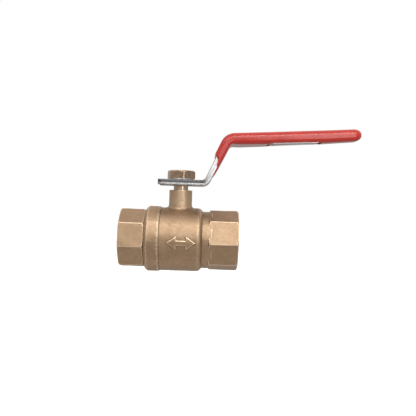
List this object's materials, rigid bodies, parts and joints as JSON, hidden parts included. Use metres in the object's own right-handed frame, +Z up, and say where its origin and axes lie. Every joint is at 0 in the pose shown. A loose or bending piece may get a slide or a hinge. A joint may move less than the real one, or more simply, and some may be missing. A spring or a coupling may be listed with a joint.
{
  "type": "water shutoff valve",
  "caption": "Quarter-turn brass ball valve with female pipe threads, octagon ends and a coated steel lever that turns the ball.",
  "frame": {"origin": "centre of the ball, on the pipe's axis", "axes": "+X along the pipe towards the outlet and the lever's grip, +Z up the stem"},
  "size_m": [0.1668, 0.0456, 0.104],
  "materials": {
    "cast_brass": "sand-cast skin with a fine grain, machined flats and threads",
    "turned_brass": "turned, bright",
    "nut_brass": "dull, oxidised",
    "ball_chrome": "polished chrome plate",
    "zinc_plate": "bright zinc plate on pressed steel",
    "ptfe": "white, waxy",
    "seal_rubber": "black nitrile rubber",
    "red_pvc": "dip-coated PVC, soft gloss"
  },
  "bodies": {
    "valve": {"valve_body": "cast_brass", "end_cap": "cast_brass", "cap_seal": "seal_rubber", "seat_ring_inlet": "ptfe", "seat_ring_outlet": "ptfe", "stem_thrust_washer": "ptfe", "stem_packing_lower": "ptfe", "stem_packing_upper": "ptfe", "gland_follower": "turned_brass", "gland_nut": "turned_brass"},
    "lever": {"stem": "turned_brass", "stem_o_ring": "seal_rubber", "lever": "zinc_plate", "lever_washer": "zinc_plate", "lever_nut": "nut_brass", "grip_sleeve": "red_pvc"},
    "ball": {"ball": "ball_chrome"}
  },
  "joints": [
    {"name": "lever_turn", "type": "hinge", "parent": "valve", "child": "lever", "pos_m": [0, 0, 0], "axis": [0, 0, 1], "range_deg": [-90, 0]},
    {"name": "ball_turn", "type": "hinge", "parent": "valve", "child": "ball", "pos_m": [0, 0, 0], "axis": [0, 0, 1], "range_deg": [-90, 0]}
  ],
  "couplings": [
    {"joint": "ball_turn", "follows": "lever_turn", "ratio": 1}
  ]
}
